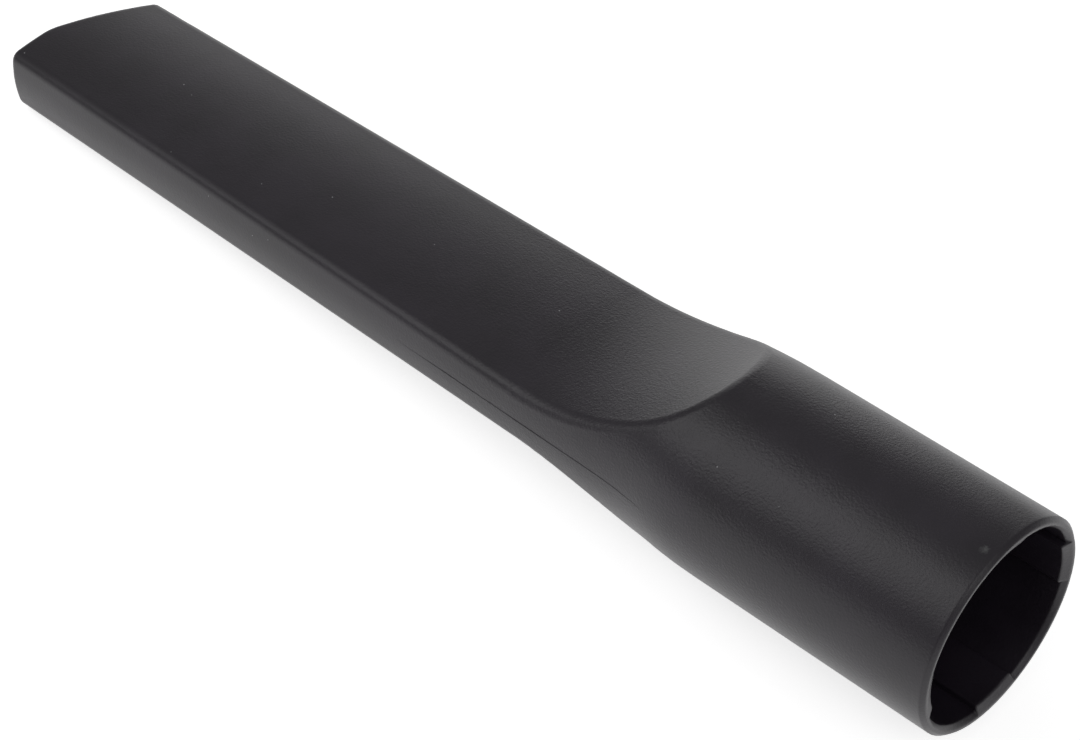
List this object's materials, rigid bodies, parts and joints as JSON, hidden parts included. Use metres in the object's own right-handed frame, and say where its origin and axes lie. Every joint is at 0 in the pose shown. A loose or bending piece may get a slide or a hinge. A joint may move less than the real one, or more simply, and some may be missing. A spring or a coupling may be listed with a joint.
{
  "type": "vacuum crevice tool",
  "caption": "One-piece moulded suction nozzle: a round socket narrows through hollow ramps into a long flat hollow blade with a slanted tip.",
  "frame": {"origin": "centre of the socket's mouth, on the axis of the socket", "axes": "+X along the socket's axis and out of its mouth, so that the tip points towards -X; +Z square to the broad faces of the blade; the long side of the tip is towards -Y"},
  "size_m": [0.24, 0.0412, 0.0412],
  "materials": {
    "black_plastic": "fine moulded grain with a dull sheen"
  },
  "bodies": {
    "root": {"nozzle_body": "black_plastic"}
  },
  "joints": []
}
